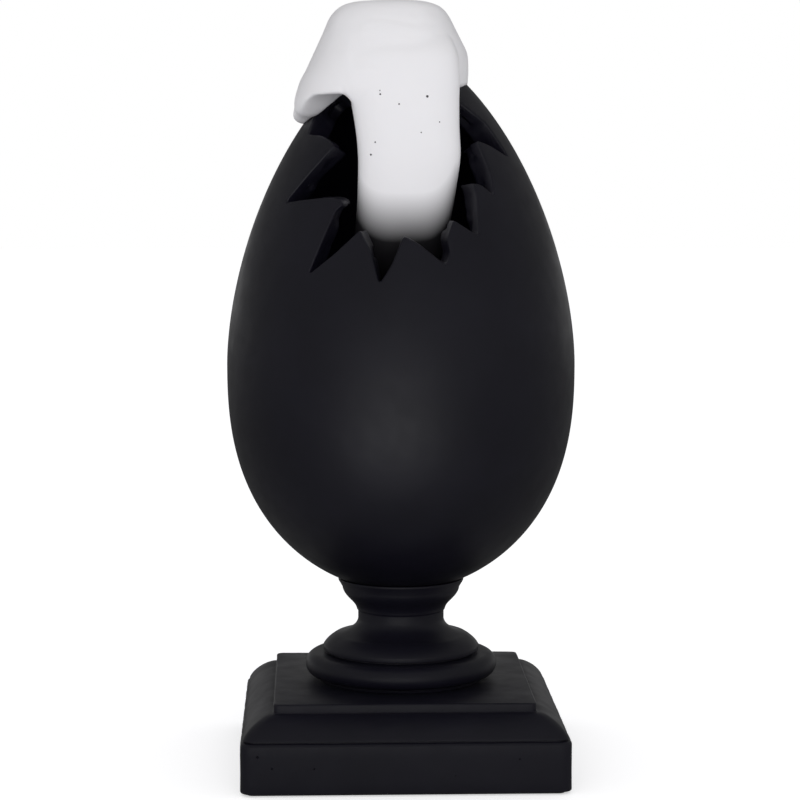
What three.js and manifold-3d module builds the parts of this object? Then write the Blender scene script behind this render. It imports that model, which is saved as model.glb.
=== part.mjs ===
// Broken egg sculpture in cast resin: a hollow black egg with a jagged hole, white resin poured over its
// crown and running down into the hole, on a turned column and a moulded square plinth.
// Millimetres, +Z up. The front is -Y. The origin is on the ground under the middle of the plinth.
import * as THREE from "three";
import { mergeVertices } from "three/addons/utils/BufferGeometryUtils.js";
import Module from "manifold-3d";

const wasm = await Module();
wasm.setup();

// Fits
const SEAT_GAP = 0.3; // between curved or cut faces that seat on each other
const ROD_CLEARANCE = 0.5; // round the rod, on the radius

// Mesh fineness
const EGG_SIDES = 64;
const HOLLOW_SIDES = 40;
const COLUMN_SIDES = 40;
const ROUND_SIDES = 20;
const POUR_SIDES = 28;
const CAP_SIDES = 52;

// Felt
const FELT_WIDTH = 144;
const FELT_THICKNESS = 1;
const FELT_CORNER = 3;

// Plinth
const SLAB_WIDTH = 150;
const SLAB_HEIGHT = 23;
const SLAB_EDGE_ROUND = 1.6;
const QUIRK_DEPTH = 1.2; // the small step in from the slab to the moulding
const QUIRK_HEIGHT = 0.8;
const OVOLO_HEIGHT = 10;
const OVOLO_SQUARENESS = 1.4; // 2 is a quarter round, less is flatter
const TILE_WIDTH = 120;
const TILE_HEIGHT = 4.1;
const TILE_EDGE_ROUND = 0.8;
const TILE_SHOULDER = 1.5; // flat ledge between the moulding and the tile
const PLINTH_CORNER = 5; // radius of the upright edges
const TILE_CORNER = 2.5;
const SOCKET_DEPTH = 3;
const NUT_WELL_RADIUS = 17;
const NUT_WELL_DEPTH = 14;

// Column
const SPIGOT_RADIUS = 30;
const BASE_DISC_RADIUS = 38.5; // thin disc under the torus
const BASE_DISC_HEIGHT = 2.1;
const BASE_TORUS_RADIUS = 45.5;
const BASE_TORUS_FOOT = 40.5;
const BASE_TORUS_HEIGHT = 10.6;
const GROOVE_RADIUS = 34.4;
const GROOVE_HEIGHT = 1.2;
const RING_RADIUS = 37;
const RING_HEIGHT = 2.2;
const BELL_SHOULDER_RADIUS = 31.3;
const BELL_SHOULDER_HEIGHT = 5.1;
const NECK_RADIUS = 20.4;
const BELL_HEIGHT = 7.4;
const NECK_HEIGHT = 4.7;
const COLLAR_STEP = 0.6;
const COLLAR_RADIUS = 29.8;
const COLLAR_HEIGHT = 15.1;
const COLLAR_LIP = 1;
const SHOULDER_PULL = [1.8, 2.2]; // in from the ring and down from the shoulder's top, sets its roundness
const BELL_PULL = [1.1, 2.1]; // out from the neck and up from the shoulder's top, sets the bell's sweep
const COLLAR_HOLLOW = [0.6, 3.4]; // out from the collar's foot and down from half its height
const COLLAR_TURN = [2.4, 1.5]; // in from the lip and down from half the collar's height
const COLLAR_FLARE = [1.9, 3.4]; // in from the lip and up from half the collar's height, where the curve ends

// Egg
const EGG_RADIUS = 82.2;
const EGG_UPPER_HEIGHT = 150; // from the widest ring to the apex
const EGG_LOWER_HEIGHT = 108.5; // from the widest ring to the bottom
const UPPER_TAPER = 1.75;
const UPPER_ROUNDNESS = 1.6;
const LOWER_TAPER = 2.5;
const LOWER_ROUNDNESS = 1.9;
const WALL = 11;
const FLOOR_THICKNESS = 29; // solid resin at the bottom of the egg, which holds the cast-in nut
const CUP_DEPTH = 6.1; // how far the egg sits down into the collar
const EGG_TURN = -2; // degrees, the egg is glued on a little turned, its hole towards the left

// Broken hole: the outline in degrees round the axis from the front, and millimetres below the apex
const BREAK_OUTLINE = [
  [-74, 25],
  [-68.4, 30.4],
  [-64.7, 36],
  [-60.6, 42.4],
  [-48, 42.6],
  [-39.6, 44.8],
  [-35.5, 47.5],
  [-44.7, 59.9],
  [-54, 73.5],
  [-43.7, 72.1],
  [-33.4, 70.9],
  [-25.7, 71.2],
  [-22.7, 73.4],
  [-26.1, 76.6],
  [-29, 87.8],
  [-33.2, 105],
  [-24.2, 95.7],
  [-15.2, 84.8],
  [-10.9, 93.2],
  [-7.2, 108.6],
  [-3.2, 100.2],
  [1, 87.3],
  [6.4, 90.9],
  [15.7, 100.3],
  [17.5, 95.9],
  [16.9, 88.8],
  [20.2, 80.4],
  [29.6, 87.8],
  [32.7, 68.7],
  [31.9, 64.1],
  [36.9, 65.2],
  [41.7, 70.3],
  [43.5, 59],
  [42.7, 44.8],
  [50.5, 46.8],
  [63.9, 52.6],
  [59.1, 37.3],
  [44.8, 28.3],
];
const BREAK_CROWN = [
  [24, 22],
  [0, 18.5],
  [-30, 18],
  [-58, 20.5],
]; // upper edge of the hole, under the pour
const BREAK_LEVEL = 70; // below this depth from the apex the broken faces run level
const BREAK_TILT = 45; // degrees, the slope of the broken faces at the crown
const BREAK_TILT_FULL = 20; // above this depth from the apex the broken faces have their whole slope
const BREAK_STEPS = 2; // pieces that each straight side of the outline is cut into
const BREAK_CORE = 3; // radius round the egg's axis that the wedge stays clear of
const BREAK_REACH = 4; // how far out the wedge goes, in egg radii
const BREAK_SEAT = 0.6; // how much lower the wedge's crown edge is where the pour is cut to seat on it

// Pour
const CAP_RISE = 19.7; // from the egg's apex to the top of the pour
const CAP_SQUARENESS = 2.5;
const RUN_SQUARENESS = 2.5;
const LIP_ROUND = 10; // height of the rounded edge where the pour ends on the shell
const LIP_SINK = 2; // how far the cap's rough edge dips into the shell before it is cut to seat
const CAP_LEVELS = [0, 0.012, 0.05, 0.14, 0.26, 0.38, 0.5, 0.62, 0.73, 0.82, 0.89, 0.94, 0.98, 1];

// Cap sections: below the pour's top, then how far it reaches to the left, right, front and back
const CAP_SECTIONS = [
  [0, 17, 8, 18, 16],
  [0.6, 23, 13, 27, 23],
  [2.6, 28.5, 18.5, 34, 28],
  [7, 33, 22.5, 40, 31],
  [13, 35.8, 25.6, 45.5, 33.5],
  [19, 38.3, 29, 50, 35],
  [25, 41, 31.2, 53.6, 36],
  [31, 43.8, 31.6, 56, 37],
  [37, 47.2, 31.4, 57.2, 37],
  [46, 50, 31, 57.5, 37],
];

// Lower edge of the cap: degrees round the axis from the front, below the apex, thickness over the shell
const CAP_LIP = [
  [-180, 47, 7],
  [-168, 46, 7],
  [-149, 31, 5.5],
  [-135, 31, 6],
  [-115, 36.5, 10],
  [-99, 37.5, 11],
  [-84, 28, 10],
  [-72, 25, 8],
  [-40, 24, 7.5],
  [0, 25.5, 8],
  [40, 22, 4],
  [62, 20.3, 0],
  [92, 20.2, 0],
  [112, 23, 2],
  [133, 27, 4],
  [152, 31, 6],
  [170, 46.5, 7],
  [180, 47, 7],
];

// Run sections: below the apex, middle to the right, middle to the front, half width, half depth
const RUN_SECTIONS = [
  [-11, 0, 18, 16, 10],
  [-3, 0.6, 30, 21.5, 14],
  [6, 1.2, 38.2, 24.6, 15.8],
  [17, 1.5, 41.8, 25.2, 15.6],
  [27, 1.9, 43.8, 24.6, 14.7],
  [40, 3, 44.8, 23.6, 13.9],
  [52, 3.8, 44.8, 23.3, 13.2],
  [64, 3, 43.6, 22.6, 12.7],
  [76, 1.8, 42, 21.9, 12.2],
  [88, 0.2, 39.4, 21.4, 11.5],
  [98, -0.5, 36.6, 20, 10.4],
  [105, -0.6, 34.2, 16.6, 8.4],
  [109, -0.6, 33, 11, 5.4],
];

// Crown pin
const PIN_RADIUS = 2.5;
const PIN_LENGTH = 20;
const PIN_IN_SHELL = 7.5;
const PIN_BACK = 4; // behind the axis

// Fastening through the stand
const ROD_RADIUS = 4;
const ROD_END_COVER = 1.5; // from the felt up to the rod's lower end
const ROD_IN_NUT = 17;
const NUT_ACROSS_FLATS = 13;
const CAST_NUT_LENGTH = 20;
const HEX_NUT_HEIGHT = 6.5;
const WASHER_RADIUS = 15;
const WASHER_THICKNESS = 2;
const SPRING_WASHER_RADIUS = 7.4;
const SPRING_WASHER_THICKNESS = 2.2;
const SPRING_WASHER_SLIT = 1.6;

// Heights worked out from the sizes above
const slabTop = FELT_THICKNESS + SLAB_HEIGHT;
const ovoloFoot = slabTop + QUIRK_HEIGHT;
const tileFoot = ovoloFoot + OVOLO_HEIGHT;
const plinthTop = tileFoot + TILE_HEIGHT;
const torusFoot = plinthTop + BASE_DISC_HEIGHT;
const torusTop = torusFoot + BASE_TORUS_HEIGHT;
const ringFoot = torusTop + GROOVE_HEIGHT;
const ringTop = ringFoot + RING_HEIGHT;
const bellTop = ringTop + BELL_SHOULDER_HEIGHT + BELL_HEIGHT;
const collarFoot = bellTop + NECK_HEIGHT;
const columnTop = collarFoot + COLLAR_HEIGHT;
const eggBottom = columnTop - CUP_DEPTH;
const eggMiddle = eggBottom + EGG_LOWER_HEIGHT;
const eggTop = eggMiddle + EGG_UPPER_HEIGHT;
const hollowFloor = eggBottom + FLOOR_THICKNESS;
const pourTop = eggTop + CAP_RISE;
const nutWellTop = FELT_THICKNESS + NUT_WELL_DEPTH;
const washerFoot = nutWellTop - WASHER_THICKNESS;
const springWasherFoot = washerFoot - SPRING_WASHER_THICKNESS;
const hexNutFoot = springWasherFoot - HEX_NUT_HEIGHT;
const castNutFoot = eggBottom + SEAT_GAP;
const pinFoot = eggTop - PIN_IN_SHELL;
const rodBore = ROD_RADIUS + ROD_CLEARANCE;

const radians = THREE.MathUtils.degToRad;

// The geometry as a closed solid, with its faces turned outwards.
function solid(geometry) {
  const bare = geometry.index ? geometry.toNonIndexed() : geometry.clone();
  bare.deleteAttribute("normal");
  bare.deleteAttribute("uv");
  const merged = mergeVertices(bare, 1e-4);
  const corners = merged.index.array;
  const kept = [];
  for (let i = 0; i < corners.length; i += 3) {
    const [a, b, c] = [corners[i], corners[i + 1], corners[i + 2]];
    if (a !== b && b !== c && c !== a) kept.push(a, b, c);
  }
  const build = (triangles) =>
    new wasm.Manifold(
      new wasm.Mesh({
        numProp: 3,
        vertProperties: merged.attributes.position.array,
        triVerts: new Uint32Array(triangles),
      }),
    );
  const made = build(kept);
  if (made.volume() > 0) return made;
  return build(kept.reverse());
}

// A named mesh of a solid.
function part(name, body, material) {
  const mesh = body.getMesh();
  const stride = mesh.numProp;
  const points = new Float32Array(mesh.numVert * 3);
  for (let i = 0; i < mesh.numVert; i++) {
    points.set(mesh.vertProperties.subarray(i * stride, i * stride + 3), i * 3);
  }
  const geometry = new THREE.BufferGeometry();
  geometry.setAttribute("position", new THREE.BufferAttribute(points, 3));
  geometry.setIndex(new THREE.BufferAttribute(mesh.triVerts, 1));
  geometry.computeVertexNormals();
  const made = new THREE.Mesh(geometry, material);
  made.name = name;
  return made;
}

// A profile of [radius, height] points turned about the upright axis.
function turned(profile, sides) {
  const points = profile.map(([radius, height]) => new THREE.Vector2(radius, height));
  return solid(new THREE.LatheGeometry(points, sides).rotateX(Math.PI / 2));
}

// A plain round bar between two heights.
function bar(radius, low, high, sides = ROUND_SIDES) {
  const geometry = new THREE.CylinderGeometry(radius, radius, high - low, sides);
  return solid(geometry.rotateX(Math.PI / 2).translate(0, 0, (low + high) / 2));
}

// A six-sided bar between two heights.
function hexBar(acrossFlats, low, high) {
  return bar(acrossFlats / Math.sqrt(3), low, high, 6);
}

// An outline drawn in plan and raised between two heights.
function raised(shape, low, high) {
  const options = { depth: high - low, bevelEnabled: false, curveSegments: ROUND_SIDES };
  return solid(new THREE.ExtrudeGeometry(shape, options).translate(0, 0, low));
}

// A skin over rings of points with the same count, closed by a fan at each end.
function lofted(rings) {
  const count = rings[0].length;
  const points = rings.flat();
  const faces = [];
  for (let ring = 0; ring + 1 < rings.length; ring++) {
    for (let i = 0; i < count; i++) {
      const a = ring * count + i;
      const b = ring * count + ((i + 1) % count);
      faces.push(a, b, b + count, a, b + count, a + count);
    }
  }
  const middle = (ring) =>
    ring.reduce((sum, p) => sum.add(p), new THREE.Vector3()).divideScalar(count);
  const first = points.push(middle(rings[0])) - 1;
  const last = points.push(middle(rings[rings.length - 1])) - 1;
  const end = (rings.length - 1) * count;
  for (let i = 0; i < count; i++) {
    const next = (i + 1) % count;
    faces.push(first, next, i, last, end + i, end + next);
  }
  return solid(new THREE.BufferGeometry().setFromPoints(points).setIndex(faces));
}

// A square ring of points with rounded corners.
function squareRing(halfWidth, height, corner = PLINTH_CORNER, steps = 3) {
  const ring = [];
  for (let quarter = 0; quarter < 4; quarter++) {
    const middle = Math.PI / 4 + (quarter * Math.PI) / 2;
    const x = Math.sign(Math.cos(middle)) * (halfWidth - corner);
    const y = Math.sign(Math.sin(middle)) * (halfWidth - corner);
    for (let step = 0; step <= steps; step++) {
      const angle = (quarter * Math.PI) / 2 + (step * Math.PI) / (2 * steps);
      ring.push(
        new THREE.Vector3(x + corner * Math.cos(angle), y + corner * Math.sin(angle), height),
      );
    }
  }
  return ring;
}

// A rounded, four-sided ring that may reach a different distance each way from its middle.
function softRing(reach, squareness, middle) {
  const ring = [];
  for (let i = 0; i < POUR_SIDES; i++) {
    const angle = (2 * Math.PI * i) / POUR_SIDES;
    const [c, s] = [Math.cos(angle), Math.sin(angle)];
    const across = Math.sign(c) * Math.abs(c) ** (2 / squareness);
    const along = Math.sign(s) * Math.abs(s) ** (2 / squareness);
    const x = across * (c > 0 ? reach.right : reach.left);
    const y = along * (s > 0 ? reach.back : reach.front);
    ring.push(new THREE.Vector3(x, y, 0).add(middle));
  }
  return ring;
}

// The row of a table at a place along its first column, each of its other values taken from its neighbours.
function rowAt(table, place, blend = (share) => share) {
  const next = Math.max(1, table.findIndex(([start]) => start >= place));
  const [low, high] = [table[next - 1], table[next]];
  const share = blend(THREE.MathUtils.clamp((place - low[0]) / (high[0] - low[0]), 0, 1));
  return low.slice(1).map((value, i) => value + (high[i + 1] - value) * share);
}

// Outer radius of the egg at a height.
function eggRadius(height) {
  const upper = height > eggMiddle;
  const share = upper
    ? (height - eggMiddle) / EGG_UPPER_HEIGHT
    : (eggMiddle - height) / EGG_LOWER_HEIGHT;
  const [taper, roundness] = upper
    ? [UPPER_TAPER, UPPER_ROUNDNESS]
    : [LOWER_TAPER, LOWER_ROUNDNESS];
  return EGG_RADIUS * Math.max(0, 1 - share ** taper) ** (1 / roundness);
}

// The egg's outline from bottom to apex, moved outwards along its own slope.
function eggOutline(offset, steps) {
  const heights = [];
  for (let i = -steps; i <= steps; i++) {
    const share = Math.sin((i / steps) * (Math.PI / 2));
    heights.push(eggMiddle + share * (i < 0 ? EGG_LOWER_HEIGHT : EGG_UPPER_HEIGHT));
  }
  const nudge = 0.01;
  const outline = [[0, eggBottom - offset]];
  for (const height of heights.slice(1, -1)) {
    const slope = (eggRadius(height + nudge) - eggRadius(height - nudge)) / (2 * nudge);
    const length = Math.hypot(1, slope);
    const radius = eggRadius(height) + offset / length;
    if (radius > 0) outline.push([radius, height - (offset * slope) / length]);
  }
  outline.push([0, eggTop + offset]);
  return outline;
}

// The whole egg, unbroken and solid, larger all over by the offset.
function eggBody(offset, steps = 14, sides = EGG_SIDES) {
  return turned(eggOutline(offset, steps), sides);
}

// The space inside the shell, down to its flat floor.
function eggHollow(offset, steps = 10) {
  const wall = eggOutline(offset - WALL, steps).filter(([, height]) => height > hollowFloor);
  const floorRadius = wall[0][0] - (wall[0][1] - hollowFloor);
  const floor = hollowFloor - offset;
  return turned([[0, floor], [floorRadius, floor], ...wall], HOLLOW_SIDES);
}

// A point on the line through one outline point, at a distance out from the egg's surface.
function breakPoint(azimuth, depth, out) {
  const height = eggTop - depth;
  const share = (BREAK_LEVEL - depth) / (BREAK_LEVEL - BREAK_TILT_FULL);
  const tilt = radians(BREAK_TILT) * THREE.MathUtils.clamp(share, 0, 1);
  const radius = eggRadius(height);
  const core = (radius - BREAK_CORE) / Math.cos(tilt); // the line stops short of the axis
  const along = Math.max(out, -core);
  const reach = radius + along * Math.cos(tilt);
  const angle = radians(azimuth);
  return new THREE.Vector3(
    reach * Math.sin(angle),
    -reach * Math.cos(angle),
    height + along * Math.sin(tilt),
  );
}

// The wedge that breaks the hole through the shell.
function breakWedge(crownDrop = 0) {
  const crown = BREAK_CROWN.map(([azimuth, depth]) => [azimuth, depth + crownDrop]);
  const corners = [...BREAK_OUTLINE, ...crown];
  const outline = corners.flatMap(([azimuth, depth], i) => {
    const [toAzimuth, toDepth] = corners[(i + 1) % corners.length];
    return Array.from({ length: BREAK_STEPS }, (_, step) => [
      azimuth + ((toAzimuth - azimuth) * step) / BREAK_STEPS,
      depth + ((toDepth - depth) * step) / BREAK_STEPS,
    ]);
  });
  const outs = [-2 * EGG_RADIUS, -2 * WALL, WALL, BREAK_REACH * EGG_RADIUS];
  const ringAt = (out) => outline.map(([azimuth, depth]) => breakPoint(azimuth, depth, out));
  const points = outs.flatMap(ringAt);
  const count = outline.length;
  const faces = [];
  for (let ring = 0; ring + 1 < outs.length; ring++) {
    for (let i = 0; i < count; i++) {
      const a = ring * count + i;
      const b = ring * count + ((i + 1) % count);
      faces.push(a, b, b + count, a, b + count, a + count);
    }
  }
  const flat = outline.map(([azimuth, depth]) => new THREE.Vector2(azimuth, -depth));
  const outer = (outs.length - 1) * count;
  for (const [a, b, c] of THREE.ShapeUtils.triangulateShape(flat, [])) {
    faces.push(c, b, a, outer + a, outer + b, outer + c);
  }
  return solid(new THREE.BufferGeometry().setFromPoints(points).setIndex(faces));
}

// Hollow egg with the broken hole, the pin hole in its crown and the pocket for the cast-in nut.
function eggShell() {
  const acrossFlats = NUT_ACROSS_FLATS + 2 * SEAT_GAP;
  const pocketTop = castNutFoot + CAST_NUT_LENGTH + SEAT_GAP;
  const pocket = hexBar(acrossFlats, eggBottom - COLLAR_LIP, pocketTop);
  const pinHole = bar(PIN_RADIUS + SEAT_GAP, pinFoot - SEAT_GAP, pourTop);
  const broken = eggBody(0).subtract(eggHollow(0)).subtract(breakWedge());
  return broken.subtract(pocket).subtract(pinHole.translate([0, PIN_BACK, 0]));
}

// Thick cap over the crown: its lower edge swells into lobes that lie on the shell.
function pourCap() {
  const soften = (share) => THREE.MathUtils.smoothstep(share, 0, 1);
  const lowest = CAP_SECTIONS[CAP_SECTIONS.length - 1][0];
  const rings = CAP_LEVELS.map((level) => {
    const ring = [];
    for (let i = 0; i < CAP_SIDES; i++) {
      const azimuth = (360 * i) / CAP_SIDES - 180;
      const [lipDepth, skin] = rowAt(CAP_LIP, azimuth, soften);
      const drop = level * (CAP_RISE + lipDepth);
      const height = pourTop - drop;
      const [left, right, front, back] = rowAt(CAP_SECTIONS, Math.min(drop, lowest));
      const [toRight, toFront] = [Math.sin(radians(azimuth)), Math.cos(radians(azimuth))];
      const across = Math.abs(toRight) / (toRight > 0 ? right : left);
      const along = Math.abs(toFront) / (toFront > 0 ? front : back);
      const block = (across ** CAP_SQUARENESS + along ** CAP_SQUARENESS) ** (-1 / CAP_SQUARENESS);
      const shell = eggRadius(height);
      const full = Math.max(block, shell + skin);
      const share = THREE.MathUtils.clamp((height - (eggTop - lipDepth)) / LIP_ROUND, 0, 1);
      const sunk = shell - LIP_SINK;
      const radius = sunk + (full - sunk) * Math.sqrt(1 - (1 - share) ** 2);
      ring.push(new THREE.Vector3(radius * toRight, -radius * toFront, height));
    }
    return ring;
  });
  return lofted(rings);
}

// Broad run that hangs down through the hole.
function pourRun() {
  const rings = RUN_SECTIONS.map(([below, right, front, halfWidth, halfDepth]) => {
    const reach = { left: halfWidth, right: halfWidth, front: halfDepth, back: halfDepth };
    return softRing(reach, RUN_SQUARENESS, new THREE.Vector3(right, -front, eggTop - below));
  });
  return lofted(rings);
}

// White pour: the cap over the shell and the run through the hole, both cut to seat on the shell.
function whitePour() {
  const unbroken = eggBody(SEAT_GAP);
  const wall = unbroken.subtract(eggHollow(-SEAT_GAP)).subtract(breakWedge(BREAK_SEAT));
  const over = pourCap().subtract(unbroken);
  const pinHole = bar(PIN_RADIUS + SEAT_GAP, eggTop - WALL, pinFoot + PIN_LENGTH + SEAT_GAP);
  return over.add(pourRun().subtract(wall)).subtract(pinHole.translate([0, PIN_BACK, 0]));
}

// Turned column with its spigot, cup and bore.
function standColumn() {
  const outline = new THREE.Path();
  const torusMiddle = torusFoot + BASE_TORUS_HEIGHT / 2;
  outline.moveTo(0, plinthTop - SOCKET_DEPTH + SEAT_GAP);
  outline.lineTo(SPIGOT_RADIUS, plinthTop - SOCKET_DEPTH + SEAT_GAP);
  outline.lineTo(SPIGOT_RADIUS, plinthTop);
  outline.lineTo(BASE_DISC_RADIUS, plinthTop);
  outline.lineTo(BASE_DISC_RADIUS, torusFoot);
  outline.lineTo(BASE_TORUS_FOOT, torusFoot);
  outline.absellipse(
    BASE_TORUS_FOOT,
    torusMiddle,
    BASE_TORUS_RADIUS - BASE_TORUS_FOOT,
    BASE_TORUS_HEIGHT / 2,
    -Math.PI / 2,
    Math.PI / 2,
  );
  outline.lineTo(GROOVE_RADIUS, torusTop);
  outline.lineTo(GROOVE_RADIUS, ringFoot);
  outline.lineTo(RING_RADIUS, ringFoot);
  outline.lineTo(RING_RADIUS, ringTop);
  const shoulderTop = ringTop + BELL_SHOULDER_HEIGHT;
  const [ringIn, shoulderDown] = SHOULDER_PULL;
  const shoulderPull = [RING_RADIUS - ringIn, shoulderTop - shoulderDown];
  outline.quadraticCurveTo(...shoulderPull, BELL_SHOULDER_RADIUS, shoulderTop);
  const [neckOut, bellUp] = BELL_PULL;
  outline.quadraticCurveTo(NECK_RADIUS + neckOut, shoulderTop + bellUp, NECK_RADIUS, bellTop);
  const footRadius = NECK_RADIUS + COLLAR_STEP;
  outline.lineTo(NECK_RADIUS, collarFoot - COLLAR_STEP);
  outline.lineTo(footRadius, collarFoot);
  const waist = collarFoot + COLLAR_HEIGHT / 2;
  const hollow = [footRadius + COLLAR_HOLLOW[0], waist - COLLAR_HOLLOW[1]];
  const turn = [COLLAR_RADIUS - COLLAR_TURN[0], waist - COLLAR_TURN[1]];
  const flare = [COLLAR_RADIUS - COLLAR_FLARE[0], waist + COLLAR_FLARE[1]];
  outline.bezierCurveTo(...hollow, ...turn, ...flare);
  outline.lineTo(COLLAR_RADIUS, columnTop - COLLAR_LIP);
  outline.lineTo(COLLAR_RADIUS, columnTop);
  outline.lineTo(0, columnTop);
  const profile = outline.getPoints(5).map((point) => [point.x, point.y]);
  const bore = bar(rodBore, 0, columnTop);
  return turned(profile, COLUMN_SIDES).subtract(eggBody(SEAT_GAP)).subtract(bore);
}

// Moulded square plinth with its socket, bore and nut well.
function plinth() {
  const half = SLAB_WIDTH / 2;
  const mouldFoot = half - QUIRK_DEPTH;
  const mouldTop = TILE_WIDTH / 2 + TILE_SHOULDER;
  const tileHalf = TILE_WIDTH / 2;
  const rings = [
    squareRing(half - SLAB_EDGE_ROUND / 2, FELT_THICKNESS),
    squareRing(half, FELT_THICKNESS + SLAB_EDGE_ROUND),
    squareRing(half, slabTop - SLAB_EDGE_ROUND),
    squareRing(half - SLAB_EDGE_ROUND / 2, slabTop),
    squareRing(mouldFoot - QUIRK_HEIGHT, slabTop),
    squareRing(mouldFoot, ovoloFoot),
  ];
  const steps = 6;
  for (let step = 1; step <= steps; step++) {
    const angle = (step / steps) * (Math.PI / 2);
    const inward = Math.max(0, Math.cos(angle)) ** (2 / OVOLO_SQUARENESS);
    const upward = Math.sin(angle) ** (2 / OVOLO_SQUARENESS);
    const corner = TILE_CORNER + (PLINTH_CORNER - TILE_CORNER) * inward;
    const width = mouldTop + (mouldFoot - mouldTop) * inward;
    rings.push(squareRing(width, ovoloFoot + OVOLO_HEIGHT * upward, corner));
  }
  rings.push(squareRing(tileHalf, tileFoot, TILE_CORNER));
  rings.push(squareRing(tileHalf, plinthTop - TILE_EDGE_ROUND, TILE_CORNER));
  rings.push(squareRing(tileHalf - TILE_EDGE_ROUND, plinthTop, TILE_CORNER));
  const socketFoot = plinthTop - SOCKET_DEPTH;
  const socket = bar(SPIGOT_RADIUS + SEAT_GAP, socketFoot, plinthTop + SOCKET_DEPTH, COLUMN_SIDES);
  const well = bar(NUT_WELL_RADIUS, 0, nutWellTop, COLUMN_SIDES);
  const bore = bar(rodBore, 0, plinthTop);
  return lofted(rings).subtract(socket).subtract(well).subtract(bore);
}

// A flat ring between two heights.
function ring(outer, inner, low, high) {
  return turned(
    [
      [inner, low],
      [outer, low],
      [outer, high],
      [inner, high],
      [inner, low],
    ],
    ROUND_SIDES,
  );
}

// Split ring that keeps the nut tight.
function springWasher(low) {
  const half = Math.asin(SPRING_WASHER_SLIT / 2 / SPRING_WASHER_RADIUS);
  const inner = ROD_RADIUS + SEAT_GAP;
  const outline = new THREE.Shape();
  outline.absarc(0, 0, SPRING_WASHER_RADIUS, half, 2 * Math.PI - half);
  outline.absarc(0, 0, inner, 2 * Math.PI - half, half, true);
  return raised(outline, low, low + SPRING_WASHER_THICKNESS);
}

// A six-sided nut with a plain bore.
function nut(low, length) {
  const bore = bar(ROD_RADIUS + SEAT_GAP, low - 1, low + length + 1);
  return hexBar(NUT_ACROSS_FLATS, low, low + length).subtract(bore);
}

// Felt pad glued under the plinth.
function baseFelt() {
  const half = FELT_WIDTH / 2;
  const corner = FELT_CORNER;
  const outline = new THREE.Shape();
  outline.absarc(half - corner, half - corner, corner, 0, Math.PI / 2);
  outline.absarc(corner - half, half - corner, corner, Math.PI / 2, Math.PI);
  outline.absarc(corner - half, corner - half, corner, Math.PI, 1.5 * Math.PI);
  outline.absarc(half - corner, corner - half, corner, 1.5 * Math.PI, 2 * Math.PI);
  const options = { depth: FELT_THICKNESS, bevelEnabled: false, curveSegments: 4 };
  return solid(new THREE.ExtrudeGeometry(outline, options));
}

// A finish, made anew for each mesh that wears it.
function finish(name, color, roughness, metalness = 0) {
  return new THREE.MeshStandardMaterial({ name, color, roughness, metalness });
}

const blackResin = () => finish("satin black resin", 0x1a191c, 0.42);
const whiteResin = () => finish("white resin", 0xe8e7ea, 0.5);
const zincSteel = () => finish("zinc plated steel", 0xb9bcc0, 0.35, 1);
const blackFelt = () => finish("black felt", 0x141416, 0.95);

const stand = new THREE.Group();
stand.add(part("base_felt", baseFelt(), blackFelt()));
stand.add(part("plinth", plinth(), blackResin()));
stand.add(part("stand_column", standColumn(), blackResin()));

const fastening = new THREE.Group();
const rod = bar(ROD_RADIUS, FELT_THICKNESS + ROD_END_COVER, eggBottom + ROD_IN_NUT);
fastening.add(part("threaded_rod", rod, zincSteel()));
fastening.add(part("hex_nut", nut(hexNutFoot, HEX_NUT_HEIGHT), zincSteel()));
fastening.add(part("spring_washer", springWasher(springWasherFoot), zincSteel()));
fastening.add(part("load_washer", ring(WASHER_RADIUS, rodBore, washerFoot, nutWellTop), zincSteel()));

const egg = new THREE.Group();
egg.add(part("egg_shell", eggShell(), blackResin()));
egg.add(part("cast_in_nut", nut(castNutFoot, CAST_NUT_LENGTH), zincSteel()));
egg.add(part("white_pour", whitePour(), whiteResin()));
const crownPin = part("crown_pin", bar(PIN_RADIUS, pinFoot, pinFoot + PIN_LENGTH), zincSteel());
crownPin.position.set(0, PIN_BACK, 0);
egg.add(crownPin);
egg.rotation.z = radians(EGG_TURN);

const sculpture = new THREE.Group();
sculpture.name = "broken_egg_sculpture";
sculpture.add(stand, fastening, egg);

export default sculpture;
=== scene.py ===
"""Broken egg sculpture in cast resin on a turned column and a moulded square plinth.

Sizes are in millimetres, but in metres where they place the camera and the light. Heights are measured
from the ground under the felt, the front faces -Y, and an azimuth is in degrees round the axis from the
front towards the right.
"""

import logging
import math
from collections.abc import Callable, Sequence
from dataclasses import dataclass
from enum import Enum
from typing import Any

import bmesh
import bpy
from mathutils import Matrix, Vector, noise


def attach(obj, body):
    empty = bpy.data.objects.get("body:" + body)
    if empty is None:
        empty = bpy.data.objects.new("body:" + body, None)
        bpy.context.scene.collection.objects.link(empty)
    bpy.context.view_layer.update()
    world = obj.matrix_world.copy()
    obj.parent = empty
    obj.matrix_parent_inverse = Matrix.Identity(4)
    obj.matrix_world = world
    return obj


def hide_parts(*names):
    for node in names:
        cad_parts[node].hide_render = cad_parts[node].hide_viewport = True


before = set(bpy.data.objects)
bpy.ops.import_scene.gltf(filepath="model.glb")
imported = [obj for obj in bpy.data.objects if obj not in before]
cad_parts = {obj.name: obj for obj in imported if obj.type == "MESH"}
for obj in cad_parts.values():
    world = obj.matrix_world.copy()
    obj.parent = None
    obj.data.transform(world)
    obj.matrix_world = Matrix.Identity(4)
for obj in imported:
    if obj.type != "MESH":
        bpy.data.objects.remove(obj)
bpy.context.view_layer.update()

LOG = logging.getLogger("broken_egg")
MM = 0.001
BODY = "root"

# Points closer than this are one, in millimetres
DOUBLED = 0.002
# Edges sharper than this stay sharp in the shading, in degrees
CREASE = 32.0
SOFT_CREASE = 40.0
# Radius of the hole for the crown pin, and how far it stands behind the axis, in millimetres
PIN_RADIUS = 2.8
PIN_BACK = 4.0

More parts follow.
